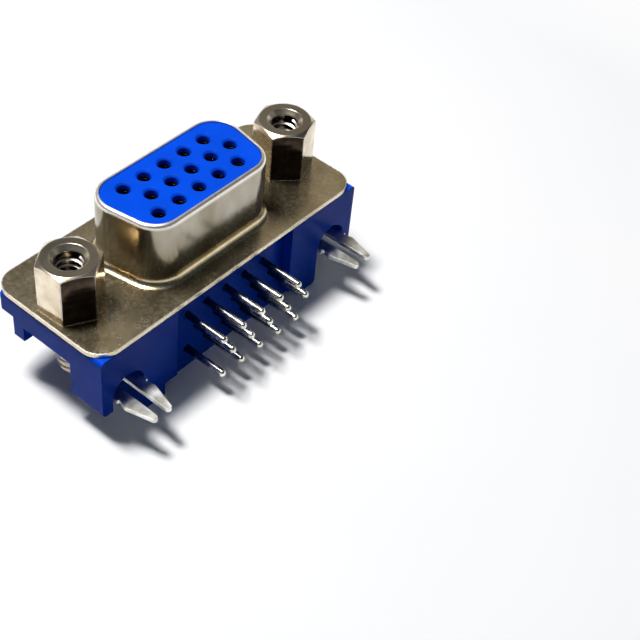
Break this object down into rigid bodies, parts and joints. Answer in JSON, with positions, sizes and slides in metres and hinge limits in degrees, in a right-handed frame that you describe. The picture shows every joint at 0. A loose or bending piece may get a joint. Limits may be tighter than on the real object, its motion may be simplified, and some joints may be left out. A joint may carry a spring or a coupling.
{
  "type": "d-sub connector",
  "caption": "Right-angle D-shaped socket for a circuit board, with a steel front shell, a blue housing, three staggered rows of contacts, hexagonal jackscrews and forked board locks.",
  "frame": {"origin": "the middle of the D-shaped wall, in the plane of the flange's front face", "axes": "+Z is the way the mating plug leaves; X runs along the flange from one jackscrew to the other; -Y is the side that sits on the circuit board, where the tails and forks come out"},
  "size_m": [0.0308, 0.0164, 0.0154],
  "materials": {
    "shell_steel": "drawn sheet with tin or nickel plating, soft reflections and faint drawing marks",
    "blue_plastic": "moulded thermoplastic, smooth and lightly glossy",
    "contact_tin": "tin-plated wire, satin",
    "jack_nickel": "nickel-plated turned brass, bright with fine turning marks",
    "lock_tin": "tin-plated spring sheet, satin"
  },
  "bodies": {
    "root": {"front_shell": "shell_steel", "front_insulator": "blue_plastic", "housing": "blue_plastic", "tail_spacer": "blue_plastic", "contact_01": "contact_tin", "contact_02": "contact_tin", "contact_03": "contact_tin", "contact_04": "contact_tin", "contact_05": "contact_tin", "contact_06": "contact_tin", "contact_07": "contact_tin", "contact_08": "contact_tin", "contact_09": "contact_tin", "contact_10": "contact_tin", "contact_11": "contact_tin", "contact_12": "contact_tin", "contact_13": "contact_tin", "contact_14": "contact_tin", "contact_15": "contact_tin", "jackscrew_left": "jack_nickel", "jackscrew_right": "jack_nickel", "board_lock_left": "lock_tin", "board_lock_right": "lock_tin"}
  },
  "joints": []
}
